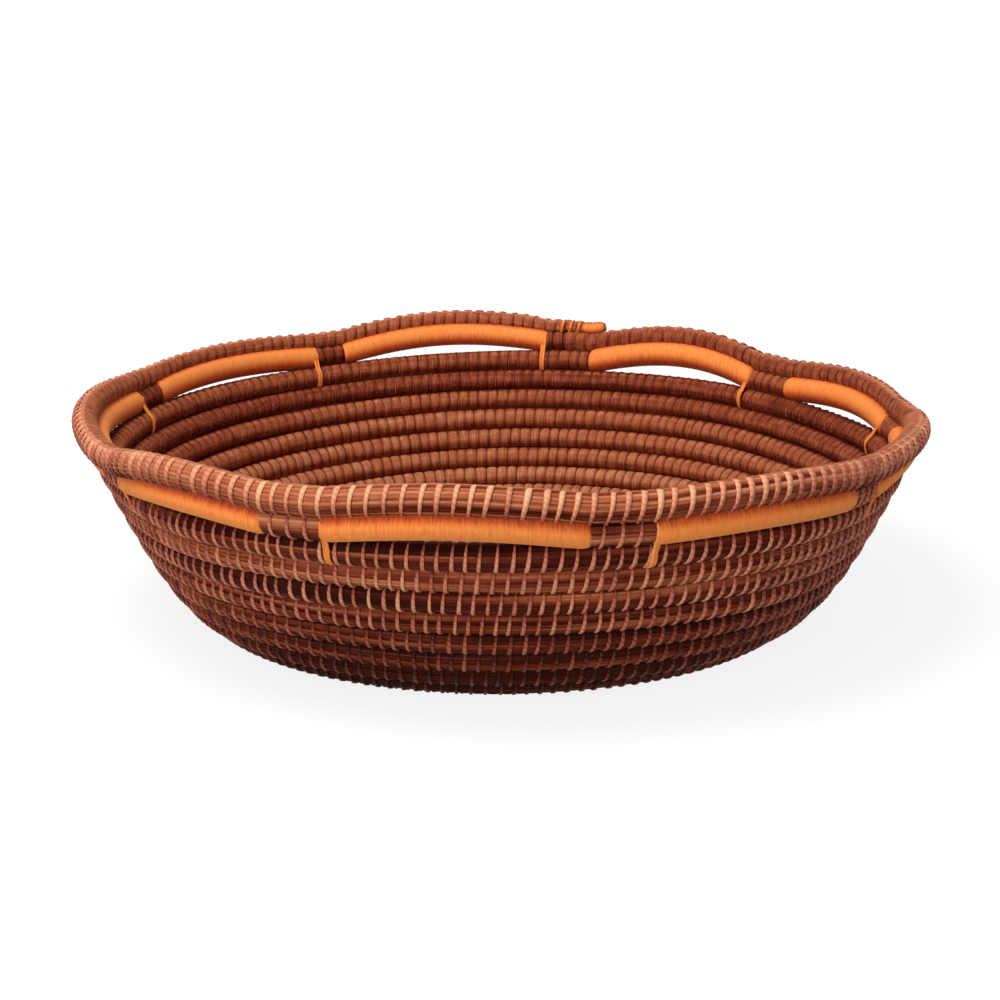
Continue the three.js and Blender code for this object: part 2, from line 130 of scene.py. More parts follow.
def swell_at(angle, swells):
    """The sum of smooth swells at an angle in degrees, each given as its middle, its size and its reach."""
    total = 0
    for middle, size, reach in swells:
        away = np.abs(np.mod(angle - middle + 180, 360) - 180)
        total = total + size * np.cos(np.clip(away / reach, 0, 1) * math.pi / 2) ** 2
    return total


def frame_at(middle, angle, lean):
    """The bundle's middle, the direction along the wall to the next round up, the direction out of the
    basket, and the direction in which it is wound."""
    away = np.stack([np.cos(angle), np.sin(angle), np.zeros_like(angle)], -1)
    higher = np.array([0.0, 0.0, 1.0])
    along_wall = away * np.cos(lean)[..., None] + higher * np.sin(lean)[..., None]
    outward = away * np.sin(lean)[..., None] - higher * np.cos(lean)[..., None]
    onward = np.stack([np.sin(angle), -np.cos(angle), np.zeros_like(angle)], -1)
    return middle, along_wall, outward, onward


def on_wall(rounds):
    """The bundle on the base or the wall, at rounds counted back from the rim's end, in mm."""
    angle = np.radians(TAIL_AT + 360 * rounds)
    climbed = WALL_ROUNDS - rounds
    swing = LEAN_SWING * np.cos(2 * (angle - LEAN_SWING_AT))
    lean = np.where(climbed > 0, WALL_LEAN * steepened(climbed) + swing * np.clip(climbed, 0, 1), 0)
    arch = np.where(rounds < 2 + SEAM_ROUND, rise_at(np.degrees(angle)), 0)
    rise = arch + swell_at(np.degrees(angle), WALL_LIFTS) * np.clip(climbed / WALL_ROUNDS, 0, 1)
    dent = swell_at(np.degrees(angle), WALL_DENTS) * np.clip(climbed / DENT_ROUNDS, 0, 1) ** 2
    wall_out = np.interp(climbed, profile_climbed, profile_out) + rise * math.cos(WALL_LEAN)
    wall_up = np.interp(climbed, profile_climbed, profile_up) + rise * math.sin(WALL_LEAN)
    on_slope = FOOT_RADIUS + wall_out * np.cos(swing) - wall_up * np.sin(swing) - dent
    radius = np.where(climbed > 0, on_slope, FOOT_RADIUS + climbed * COIL_PITCH)
    height = REST_HEIGHT + wall_out * np.sin(swing) + wall_up * np.cos(swing)
    middle = np.stack([radius * np.cos(angle), radius * np.sin(angle), height], -1)
    return frame_at(middle, angle, lean)


ARCH_COIL_REACH = float(np.hypot(*on_wall(np.array(1 + SEAM_ROUND))[0][:2]))


def share_between(value, low, high):
    """0 below low and 1 above high, with a smooth passage between them."""
    share = np.clip((value - low) / (high - low), 0, 1)
    return share * share * (3 - 2 * share)


def rim_share(rounds, start, full, thin, end):
    """A size of the rim: that of its start, then full, then thin, then tapering to its end."""
    from_end = rounds * 2 * math.pi * ARCH_COIL_REACH
    from_start = (1 + SEAM_ROUND) * 2 * math.pi * ARCH_COIL_REACH - from_end
    size = start + (full - start) * share_between(from_start, *FILLING)
    size = thin + (size - thin) * share_between(from_end, *THINNING)
    return end + (size - end) * np.clip(from_end / TAIL_LENGTH, 0, 1)


def bundle_at(rounds):
    """The bundle at any rounds. The last round is the rim, seated on the wraps of the round below it."""
    wall = on_wall(rounds)
    if np.min(rounds) >= 1 + SEAM_ROUND:
        return wall
    angle = np.radians(TAIL_AT + 360 * rounds)
    swing = LEAN_SWING * np.cos(2 * (angle - LEAN_SWING_AT))
    stack = RIM_STACK + swing - RIM_OVERHANG * swell_at(np.degrees(angle), WALL_DENTS)
    seated = frame_at(bundle_at(rounds + 1)[0], angle, stack)
    distance = SEAT + rim_share(rounds, START_SEAT_RADIUS, SEAT_RADIUS, THIN_SEAT_RADIUS, TAIL_SEAT_RADIUS)
    share = share_between((1 + SEAM_ROUND - rounds) * 2 * math.pi * ARCH_COIL_REACH, 0, RIM_JOIN)[..., None]
    middle = wall[0] + (seated[0] + seated[1] * distance[..., None] - wall[0]) * share
    along_wall = wall[1] + (seated[1] - wall[1]) * share
    along_wall = along_wall / np.linalg.norm(along_wall, axis=-1, keepdims=True)
    outward = wall[2] + (seated[2] - wall[2]) * share
    outward = outward / np.linalg.norm(outward, axis=-1, keepdims=True)
    return middle, along_wall, outward, wall[3]


# Lengths along the bundle, in mm from the rim's end, and the rounds that they fall on.
MEASURING_POINTS = 20001
measured_rounds = np.linspace(0, FIRST_ROUND, MEASURING_POINTS)
measured_steps = np.linalg.norm(np.diff(bundle_at(measured_rounds)[0], axis=0), axis=1)
measured_lengths = np.concatenate([[0], np.cumsum(measured_steps)])


def length_at(rounds):
    return np.interp(rounds, measured_rounds, measured_lengths)


def rounds_at(lengths):
    return np.interp(lengths, measured_lengths, measured_rounds)


# The stitches draw the bundle in, so they are set out first, each at its length along the bundle.
STITCH_SPACING = 3.62
RIM_STITCH_SPACING = 4.15
STITCH_JITTER = 0.13
STITCH_LEAD = 1.4  # how far a stitch runs ahead from the top of the bundle to its foot outside
RIM_STITCH_LEAD = 2.5
INSIDE_LEAD = 0.3
LEAD_TURN = math.radians(135)  # the turn up to which a stitch keeps running ahead
LEAD_JOIN = 20.0  # half the length over which the rim's lead becomes the wall's
SLANT = ([150, 235, 250, 262, 275, 330], [1.0, 0.35, 0.35, 0.7, 1.0, 1.0])  # share of the lead at an angle
FIRST_STITCH_AT = 2.0
CHANCE_SEED = 11
chance = np.random.default_rng(CHANCE_SEED)
stitch_lengths = [FIRST_STITCH_AT]
while stitch_lengths[-1] < measured_lengths[-1] - STITCH_SPACING:
    on_rim = stitch_lengths[-1] < length_at(1 + SEAM_ROUND)
    spacing = RIM_STITCH_SPACING if on_rim else STITCH_SPACING
    stitch_lengths.append(stitch_lengths[-1] + spacing * (1 + STITCH_JITTER * chance.uniform(-1, 1)))
stitch_lengths = np.array(stitch_lengths)

BUNDLE_ALONG = 3.68  # half its depth along the wall, where the rounds press on each other
BUNDLE_ACROSS = 3.35
RIM_START = 0.87  # the rim's sizes, as shares of the wall's bundle
RIM_FULL = 1.06
RIM_THIN = 0.68
TAIL_RADIUS = 1.3
KNOT_THIN = 0.97  # the share left at the bundle's very beginning
KNOT_JOIN = 0.2  # rounds before the knot at which it starts to thin
NEEDLES_ROUND = 20  # ridges round the bundle, one for each needle that shows
RIDGE = 0.11
PROUD = 0.10  # how far one needle stands proud of the next, or sinks
PROUD_LENGTH = 14.0  # length over which that changes
TWIST = 0.12  # how far the needles wind to and fro round the bundle, in radians
TWIST_LENGTH = 55.0
PINCH_OUTSIDE = 0.15  # how deep a stitch draws the bundle in
PINCH_INSIDE = 0.62
PINCH_CALMS = 0.6  # the share of the ridges that a stitch presses flat
INSIDE_CALMS = 0.8  # and the share that is lost on the inside of the basket
LEAST_RIDGE = 0.15
WRAPPED_SIZE = 0.9  # the bundle's size where a wrap squeezes it
WRAP_EDGE = 0.003  # rounds over which it gives way there
RESTING_FACE = 0.25  # the height at which the underside is pressed flat
# The rings between one stitch and the next: each one's share of the way, and its share of the pinch.
RINGS = [(0.0, 1.0), (0.15, 0.42), (0.37, 0.04), (0.63, 0.04), (0.85, 0.42)]


def wander(lengths, step, columns):
    """Smooth chance values, a column for each needle, that change over a step of length."""
    knots = chance.normal(size=(int(lengths.max() / step) + 3, columns))
    place = lengths / step
    low = place.astype(int)
    share = share_between(place - low, 0, 1)[:, None]
    return knots[low] * (1 - share) + knots[low + 1] * share


def lead_at(turn):
    """The share of the lead that a stitch has at a turn round the bundle, from -pi to pi."""
    back = (math.pi - np.abs(turn)) / (math.pi - LEAD_TURN)
    ahead = np.sign(turn) * LEAD_TURN / math.pi
    share = np.where(np.abs(turn) <= LEAD_TURN, turn / math.pi, ahead * back)
    return np.where(turn < 0, INSIDE_LEAD * share, share)


def lead_size(lengths):
    """How far a stitch runs ahead at a length: the rim's slant more, those at the left front less, and
    those of the starting knot not at all."""
    rim_begins = length_at(1 + SEAM_ROUND)
    on_rim = share_between(lengths, rim_begins + LEAD_JOIN, rim_begins - LEAD_JOIN)
    rounds = rounds_at(lengths)
    slant = np.interp(np.mod(TAIL_AT + 360 * rounds, 360), *SLANT)
    slant = slant * share_between(rounds, ALL_ROUNDS, ALL_ROUNDS - 1)
    return slant * (STITCH_LEAD + (RIM_STITCH_LEAD - STITCH_LEAD) * on_rim)


def arch_round(angle):
    """The round of the arch coil at an angle in degrees."""
    return 1 + SEAM_ROUND + ((angle - SEAM_AT) % 360) / 360


def bundle_size(rounds):
    """The share of the wall's size that the bundle has: thin at the tail and in the starting knot, and
    squeezed under the wraps."""
    rim = rim_share(rounds, RIM_START, RIM_FULL, RIM_THIN, TAIL_RADIUS / BUNDLE_ACROSS)
    on_rim = share_between(1 + SEAM_ROUND - rounds, 0, RIM_JOIN / (2 * math.pi * ARCH_COIL_REACH))
    wrapped = 0
    for begin, end, rise in ARCHES:
        first, last = arch_round(begin), arch_round(end)
        past_first = share_between(rounds, first, first + WRAP_EDGE)
        wrapped = wrapped + past_first * share_between(rounds, last, last - WRAP_EDGE)
    knot = KNOT_THIN + (1 - KNOT_THIN) * share_between(rounds, FIRST_ROUND, ALL_ROUNDS + KNOT_JOIN)
    return (1 + (rim - 1) * on_rim) * (1 - (1 - WRAPPED_SIZE) * wrapped) * knot


def pinch_at(turn):
    """How deep a stitch draws the bundle in at a turn, in mm: deepest on the inside of the basket, and not
    at all where the rounds press on each other."""
    inside = share_between(-np.sin(turn), 0.05, 0.75)
    free = share_between(np.abs(np.sin(turn)), 0.12, 0.5)
    return (PINCH_OUTSIDE + (PINCH_INSIDE - PINCH_OUTSIDE) * inside) * free


def beside(rounds, turn, distance):
    """Points beside the bundle: at a turn from the direction along the wall towards the outside, and so
    far from the middle."""
    middle, along_wall, outward, onward = bundle_at(rounds)
    across = along_wall * np.cos(turn)[..., None] + outward * np.sin(turn)[..., None]
    return middle + across * distance[..., None]


stitch_gaps = np.diff(stitch_lengths)
ring_lengths = np.concatenate([stitch_lengths[:-1] + stitch_gaps * share for share, _ in RINGS])
ring_pinch = np.concatenate([np.full(len(stitch_gaps), pinch) for _, pinch in RINGS])
ring_order = np.argsort(ring_lengths)
ring_lengths, ring_pinch = ring_lengths[ring_order], ring_pinch[ring_order]

corners = 2 * NEEDLES_ROUND
corner_turn = np.linspace(-math.pi, math.pi, corners, endpoint=False)
on_ridge = np.arange(corners) % 2 == 0
ring_turn = corner_turn + TWIST * wander(ring_lengths, TWIST_LENGTH, 1)
ring_turn = np.mod(ring_turn + math.pi, 2 * math.pi) - math.pi
calm = 1 - PINCH_CALMS * ring_pinch[:, None] - INSIDE_CALMS * np.clip(-np.sin(ring_turn), 0, 1)
calm = np.clip(calm, LEAST_RIDGE, 1)
needle_height = np.repeat(PROUD * wander(ring_lengths, PROUD_LENGTH, NEEDLES_ROUND), 2, axis=1)
valley_height = (needle_height + np.roll(needle_height, 1, axis=1)) / 2 - RIDGE
oval = np.hypot(BUNDLE_ALONG * np.cos(ring_turn), BUNDLE_ACROSS * np.sin(ring_turn))
size = bundle_size(rounds_at(ring_lengths))[:, None]
distance = size * (oval - ring_pinch[:, None] * pinch_at(ring_turn))
distance = distance + calm * np.where(on_ridge, needle_height + RIDGE, valley_height)
corner_lead = lead_size(ring_lengths)[:, None] * lead_at(ring_turn)
bundle_rings = beside(rounds_at(ring_lengths[:, None] - corner_lead), ring_turn, distance)
bundle_rings[..., 2] = np.maximum(bundle_rings[..., 2], RESTING_FACE)

# How pale the bundle is: each needle has its own shade, and some bunches are paler than others. The rest is
# painted light and shade: painted light inside the basket, on top of the rim, on the outside towards the
# sides and low down inside, and painted shade in the valleys between needles, where the rounds press on each
# other, under each round and each stitch inside, up under the arches inside and down at the front's foot. A
# pair in rounds or in degrees from the front gives where a change of shade begins and where it is full.
NEEDLE_TONE = 0.36
NEEDLES_DIFFER = 0.20
NEEDLE_SHADE_LENGTH = 70.0  # length over which a needle's shade changes
# Painted shade in the valleys between the needles.
VALLEY_SHADE = 0.18
BUNCHES_DIFFER = 0.05
BUNCH_LENGTH = 160.0
BUNCHES = [(3.30, 3.80, 0.12), (0.78, 1.02, -0.13), (2.42, 2.90, -0.12)]  # from, to, and how much paler
RIM_TOP_PAINTED_LIGHT = 0.35  # painted light: how much paler the rim is on top, where the light falls
PRESSED_SHADE = 0.33  # painted shade where the rounds press on each other
SHADOWED = 0.75  # the shadow under a round inside, as a share of that
FRONT_AT = 268
FOOT_SHADE = 0.42  # painted shade on the front, down at the foot
FOOT_ROUNDS = (6.3, 9.0)
FOOT_SIDES_LESS = 0.75  # the share of that which is lost towards the sides
FOOT_SIDES = (25, 60)
SIDES_PAINTED_LIGHT = 0.10  # painted light on the outside towards the sides, where the rim gets as much again
SIDES = (30, 75)
SIDES_EVEN = 0.4  # the share of the needles' difference that is lost there
SIDES_PRESSED_LESS = 0.45
# Painted light: the inside of the basket is made paler.
INSIDE_PAINTED_LIGHT = 0.22
INSIDE_EVEN = 0.8
PINCH_SHADE = 0.30  # painted shade under the stitches inside, where they draw the bundle in
TOP_SHADE = 0.17  # painted shade inside, up under the arches
TOP_ROUNDS = (7.0, 2.4)
LOW_PAINTED_LIGHT = 0.08  # painted light inside, down towards the base
LOW_ROUNDS = (4.2, 6.5)


def from_front(rounds):
    """The angle from the middle of the front, in degrees."""
    return np.abs(np.mod(TAIL_AT + 360 * rounds - FRONT_AT + 180, 360) - 180)


shade = np.repeat(NEEDLES_DIFFER * wander(ring_lengths, NEEDLE_SHADE_LENGTH, NEEDLES_ROUND), 2, axis=1)
# The valleys between needles get painted shade.
shade = np.where(on_ridge, shade, (shade + np.roll(shade, 1, axis=1)) / 2 - VALLEY_SHADE)
bunch = BUNCHES_DIFFER * wander(ring_lengths, BUNCH_LENGTH, 1)
ring_rounds = rounds_at(ring_lengths)
for low_end, top_end, paler in BUNCHES:
    bunch = bunch + paler * ((ring_rounds > low_end) & (ring_rounds < top_end))[:, None]
inside = share_between(-np.sin(ring_turn), 0.1, 0.6)
outside = 1 - inside
on_rim = (ring_rounds < 1 + SEAM_ROUND)[:, None]
aside = share_between(from_front(ring_rounds), *SIDES)[:, None]
# Painted shade in the grooves between rounds and under each round inside, less towards the sides outside.
groove = share_between(np.abs(np.cos(ring_turn)), 0.72, 1.0)
shadow = SHADOWED * share_between(-np.cos(ring_turn), 0.15, 0.85) * inside
pressed = PRESSED_SHADE * np.maximum(groove, shadow) * (1 - on_rim)
pressed = pressed * (1 - SIDES_PRESSED_LESS * aside * outside)
# Painted light on the top of the rim.
rim_top_light = RIM_TOP_PAINTED_LIGHT * on_rim * share_between(np.cos(ring_turn), -1.2, 0.85)
# Painted shade on the front towards the foot, less towards the sides.
foot_sides = share_between(from_front(ring_rounds), *FOOT_SIDES)
foot = FOOT_SHADE * share_between(ring_rounds, *FOOT_ROUNDS) * (1 - FOOT_SIDES_LESS * foot_sides)
pinch_shade = PINCH_SHADE * share_between(ring_pinch, 0.3, 1.0)[:, None]
top = TOP_SHADE * share_between(ring_rounds, *TOP_ROUNDS)[:, None] * (1 - on_rim)
low = LOW_PAINTED_LIGHT * share_between(ring_rounds, *LOW_ROUNDS)[:, None]
# The needles' own shades, with the painted light and shade added to them.
bundle_tone = NEEDLE_TONE + shade * (1 - INSIDE_EVEN * inside) * (1 - SIDES_EVEN * aside) + bunch - pressed
bundle_tone = bundle_tone + outside * (rim_top_light + SIDES_PAINTED_LIGHT * (1 + on_rim) * aside - foot[:, None])
bundle_tone = bundle_tone + inside * (INSIDE_PAINTED_LIGHT - pinch_shade - top + low)


def tubes(name, rings, lengths, tone, bound=0.0):
    """A mesh of closed tubes, in metres. rings has one row of rings for each tube, in mm, lengths the
    length at each ring, and tone and bound a value for each ring or each corner."""
    count, steps, sides = rings.shape[:3]
    corner = np.arange(count * steps * sides).reshape(count, steps, sides)
    here, ahead = corner[:, :-1], corner[:, 1:]
    quads = np.stack([here, ahead, np.roll(ahead, -1, 2), np.roll(here, -1, 2)], -1).reshape(-1, 4)
    caps = np.concatenate([corner[:, 0], corner[:, -1, ::-1]])
    hub = rings[0].mean(axis=(0, 1))
    a, b, c = (rings[0].reshape(-1, 3)[quads[: (steps - 1) * sides, i]] - hub for i in (0, 1, 2))
    if np.einsum("ij,ij->i", a, np.cross(b, c)).sum() < 0:
        quads, caps = quads[:, ::-1], caps[:, ::-1]
    mesh = bpy.data.meshes.new(name)
    mesh.vertices.add(corner.size)
    mesh.vertices.foreach_set("co", (rings * MM).astype(np.float32).ravel())
    mesh.loops.add(quads.size + caps.size)
    mesh.loops.foreach_set("vertex_index", np.concatenate([quads.ravel(), caps.ravel()]).astype(np.int32))
    mesh.polygons.add(len(quads) + len(caps))
    starts = np.concatenate([np.arange(len(quads)) * 4, quads.size + np.arange(len(caps)) * sides])
    mesh.polygons.foreach_set("loop_start", starts.astype(np.int32))
    mesh.update(calc_edges=True)
    mesh.shade_smooth()
    where = np.concatenate([quads.ravel(), caps.ravel()])
    side = np.broadcast_to(np.arange(sides), corner.shape).ravel()[where].astype(float)
    wrapped = side.copy()
    face_side = side[: quads.size].reshape(-1, 4)
    closing = face_side.max(1) - face_side.min(1) > 1
    wrapped[: quads.size] = np.where(closing[:, None] & (face_side == 0), sides, face_side).ravel()
    along = np.repeat(lengths.reshape(-1), sides)[where]
    layer = mesh.uv_layers.new(name="lay")
    layer.data.foreach_set("uv", np.stack([along, wrapped / sides], -1).astype(np.float32).ravel())
    for attribute_name, values in {"tone": tone, "bound": bound}.items():
        attribute = mesh.attributes.new(attribute_name, "FLOAT", "POINT")
        spread = np.broadcast_to(values, corner.shape).astype(np.float32)
        attribute.data.foreach_set("value", spread.ravel())
    piece = bpy.data.objects.new(name, mesh)
    bpy.context.scene.collection.objects.link(piece)
    return piece


def stretch(begin, end):
    """The rings of the bundle between two places in rounds, both ends included."""
    first, last = np.searchsorted(ring_rounds, [begin, end])
    return slice(first, min(last + 1, len(ring_rounds)))


def linear(hex_colour):
    """An sRGB hex colour as the linear RGBA that a socket takes."""
    parts = [int(hex_colour[i : i + 2], 16) / 255 for i in (1, 3, 5)]
    return tuple(c / 12.92 if c <= 0.04045 else ((c + 0.055) / 1.055) ** 2.4 for c in parts) + (1.0,)


def add_node(material, kind, settings=None, inputs=None):
    """Adds a node. An input is a value, or another node's output socket to link."""
    node = material.node_tree.nodes.new(kind)
    for key, value in (settings or {}).items():
        setattr(node, key, value)
    for key, value in (inputs or {}).items():
        if isinstance(value, bpy.types.NodeSocket):
            material.node_tree.links.new(value, node.inputs[key])
        else:
            node.inputs[key].default_value = value
    return node


def new_material(name):
    material = bpy.data.materials.new(name)
    material.use_nodes = True
    return material, material.node_tree.nodes["Principled BSDF"]


# Dried pine needles: long thin leaves with a waxy skin, which gives a satin gloss along each needle and
# red-brown shades that differ from one needle to the next. Fine lengthwise lines run along each of them.
# Inside the basket the strands of the stitches lie spread over them, so the lines run across there.
NEEDLE_LINE_MM = 0.42
NEEDLE_LINE_LENGTH_MM = 26.0
STRAND_MM = 0.62
STRAND_LENGTH_MM = 6.0
BLOTCH_LENGTH_MM = 9.0
BLOTCH_MM = 2.5
BUNDLE_GIRTH_MM = 22.0
LINES_SHARE = 0.52  # how much the lines and the blotches add to the tone
BLOTCHES_SHARE = 0.30
needle_material, surface = new_material("dried_pine_needles")
lay = add_node(needle_material, "ShaderNodeUVMap", {"uv_map": "lay"})


def streaks(material, lay, along_mm, across_mm):
    """Streaks drawn out over lengths in mm along the bundle and round it."""
    stretched = add_node(
        material,
        "ShaderNodeMapping",
        inputs={"Vector": lay.outputs["UV"], "Scale": (1 / along_mm, BUNDLE_GIRTH_MM / across_mm, 1)},
    )
    return add_node(
        material,
        "ShaderNodeTexNoise",
        {"noise_dimensions": "2D"},
        {"Vector": stretched.outputs["Vector"], "Scale": 1.0, "Detail": 3.0, "Roughness": 0.6},
    )


needle_lines = streaks(needle_material, lay, NEEDLE_LINE_LENGTH_MM, NEEDLE_LINE_MM)
strand_lines = streaks(needle_material, lay, STRAND_MM, STRAND_LENGTH_MM)
blotches = streaks(needle_material, lay, BLOTCH_LENGTH_MM, BLOTCH_MM)
tone = add_node(needle_material, "ShaderNodeAttribute", {"attribute_name": "tone"})
bound = add_node(needle_material, "ShaderNodeAttribute", {"attribute_name": "bound"})
lines = add_node(
    needle_material,
    "ShaderNodeMix",
    {"data_type": "FLOAT"},
    {"Factor": bound.outputs["Fac"], "A": needle_lines.outputs["Fac"], "B": strand_lines.outputs["Fac"]},
)
lined_tone = add_node(
    needle_material,
    "ShaderNodeMath",
    {"operation": "MULTIPLY_ADD"},
    {0: lines.outputs["Result"], 1: LINES_SHARE, 2: tone.outputs["Fac"]},
)
full_tone = add_node(
    needle_material,
    "ShaderNodeMath",
    {"operation": "MULTIPLY_ADD"},
    {0: blotches.outputs["Fac"], 1: BLOTCHES_SHARE, 2: lined_tone.outputs["Value"]},
)
NEEDLE_SHADES = [(0.2, "#2C0A04"), (0.5, "#4A180C"), (0.75, "#7E3620"), (1.0, "#B06340"), (1.3, "#D69A74")]
NEEDLE_TONE_REACH = 1.4
ramp_place = add_node(
    needle_material,
    "ShaderNodeMath",
    {"operation": "DIVIDE"},
    {0: full_tone.outputs["Value"], 1: NEEDLE_TONE_REACH},
)
shades = add_node(needle_material, "ShaderNodeValToRGB", inputs={"Fac": ramp_place.outputs["Value"]})
ramp = shades.color_ramp
while len(ramp.elements) < len(NEEDLE_SHADES):
    ramp.elements.new(0.5)
for element, (place, colour) in zip(ramp.elements, NEEDLE_SHADES):
    element.position = place / NEEDLE_TONE_REACH
    element.color = linear(colour)
bump = add_node(
    needle_material,
    "ShaderNodeBump",
    inputs={"Height": lines.outputs["Result"], "Strength": 0.5, "Distance": 0.12 * MM},
)
needle_material.node_tree.links.new(shades.outputs["Color"], surface.inputs["Base Color"])
needle_material.node_tree.links.new(bump.outputs["Normal"], surface.inputs["Normal"])
surface.inputs["Roughness"].default_value = 0.55
surface.inputs["IOR"].default_value = 1.47
surface.inputs["Specular IOR Level"].default_value = 0.04

# The pieces that the bundle is made in: where each begins and ends in rounds, and the solid it stands for.
BUNDLES = {
    "starting_knot": (FIRST_ROUND, ALL_ROUNDS, "centre_knot"),
    "base_bundle_inner": (ALL_ROUNDS, 15.0, "base_coil"),
    "base_bundle_outer": (15.0, WALL_ROUNDS, "base_coil"),
    "lower_wall_bundle": (WALL_ROUNDS, 9 + SEAM_ROUND, "lower_wall_coil"),
    "middle_wall_bundle_low": (9 + SEAM_ROUND, 7.5 + SEAM_ROUND, "middle_wall_coil"),
    "middle_wall_bundle_high": (7.5 + SEAM_ROUND, 6 + SEAM_ROUND, "middle_wall_coil"),
    "upper_wall_bundle_low": (6 + SEAM_ROUND, 4 + SEAM_ROUND, "upper_wall_coil"),
    "upper_wall_bundle_high": (4 + SEAM_ROUND, 2 + SEAM_ROUND, "upper_wall_coil"),
    "arch_bundle": (2 + SEAM_ROUND, 1 + SEAM_ROUND, "arch_coil"),
    "rim_bundle": (1 + SEAM_ROUND, 0.0, "rim_coil"),
}
for name, (low_end, top_end, node) in BUNDLES.items():
    part = stretch(top_end, low_end)
    laid = [rows[None, part] for rows in (bundle_rings, ring_lengths, bundle_tone, inside)]
    piece = tubes(name, *laid)
    piece.data.materials.append(needle_material)
    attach(piece, "root")
    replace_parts(piece, node)

# The middle of the starting knot.
# The folded ends of the first needles, pressed into a button that fills the middle of the first round.
# The first round is sewn tight on it.
HEART_RADIUS = 4.4
HEART_HALF_HEIGHT = 2.7
HEART_END = math.radians(80)  # how near to its poles its rings go, before it is closed
HEART_RINGS = 13
HEART_CORNERS = 24
HEART_TONE = 0.42
heart_rise = np.linspace(-HEART_END, HEART_END, HEART_RINGS)[:, None]
heart_turn = np.linspace(0, 2 * math.pi, HEART_CORNERS, endpoint=False)
heart_out = HEART_RADIUS * np.cos(heart_rise)
heart_height = REST_HEIGHT + HEART_HALF_HEIGHT * np.sin(heart_rise)
heart_corners = (heart_out * np.cos(heart_turn), heart_out * np.sin(heart_turn), heart_height)
heart_rings = np.stack(np.broadcast_arrays(*heart_corners), -1)
heart_run = HEART_RADIUS * heart_rise.T
heart = tubes("starting_knot_heart", heart_rings[None], heart_run, HEART_TONE, 1.0)
heart.data.materials.append(needle_material)
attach(heart, "root")
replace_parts(heart, "centre_knot")

# The ordinary stitches.
# Waxed thread sews each round to the one below, about one stitch every 4 mm. A stitch comes out of the
# round below, goes over the bundle and back into the round below, leaning forward as it goes down.
THREAD_TURNS = np.radians([-130, -100, -60, -20, 12, 36, 62, 90, 114, 136])
FOOT_TURNS = np.radians([150, 165])  # the turns of its foot outside, and the other way round inside
BITE = [(-3.75, 1.55), (-4.3, 0.5)]  # where a stitch goes under outside, along the wall and outward
BITE_INSIDE = [(-3.0, 0.9), (-3.7, 0.2)]  # and inside, where it is drawn deep into the groove
THREAD_THICK = 0.62
THREAD_SIDES = 5
THREAD_CLEAR = 0.06  # how far the thread stands off the needles
SUNK_INSIDE = 0.35  # the share of its thickness that it sinks in on the inside
SUNK_IN_GROOVE = 0.3  # and how deep it sinks where the next round presses on it
LEAD_SPREAD = (0.75, 1.3)  # how much more or less than the rest one stitch slants
WIDE_SPREAD = (0.85, 1.15)
FOOT_THIN = 0.8  # the share of its thickness at its feet, past a turn
FOOT_THIN_TURN = 2.4
# How wide the thread lies at a turn, in mm, and its shade: narrow inside and in the groove under the next
# round, and broad on the outside. On top of the rim it is broadest. The shade is painted light and shade:
# painted shade inside and in the groove, and painted light on the outside, most on top of the rim.
THREAD_WIDE = ([-180, -40, 10, 40, 75, 120, 180], [0.32, 0.36, 0.6, 0.9, 1.1, 1.15, 0.85])
RIM_THREAD_WIDE = ([-180, -60, -20, 15, 60, 100, 135, 180], [0.38, 0.6, 1.4, 1.7, 1.35, 1.15, 0.9, 0.7])
THREAD_LIGHT_AND_SHADE = ([-180, -95, -50, -10, 30, 60, 100, 150, 180], [0.16, 0.2, 0, 0, 0.3, 0.5, 0.64, 0.55, 0.25])
RIM_THREAD_LIGHT_AND_SHADE = ([-180, -50, -12, 15, 55, 100, 135, 180], [0.12, 0.15, 0.48, 0.82, 0.77, 0.6, 0.45, 0.3])
THREADS_DIFFER = 0.08
# Towards the sides of the basket the stitches lie broader, by up to this share, and look darker.
STITCH_SIDES = (15, 65)
STITCH_OUTSIDE = (-20, 30)
SIDES_BROADER = 0.95
SIDES_DARKER = 0.22
RIM_SIDES_DARKER = 0.37
# On the front they are painted darker towards the foot, as painted shade.
THREAD_FOOT_SHADE = 0.50
THREAD_FOOT_ROUNDS = (3.9, 8.7)
THREAD_FOOT_OUTSIDE = (0, 30)
LOWEST = 0.02  # nothing reaches lower than this, so that the floor stays clear


def flat_strand(path, onward, raised, wide, thick, sides):
    """The rings of a flat strand along a path, wide along the bundle and thick off it."""
    corner = np.arange(sides) / sides * 2 * math.pi
    spread = onward[..., None, :] * (wide / 2)[..., None, None] * np.cos(corner)[:, None]
    rise = raised[..., None, :] * (thick / 2)[..., None, None] * np.sin(corner)[:, None]
    return path[..., None, :] + spread + rise


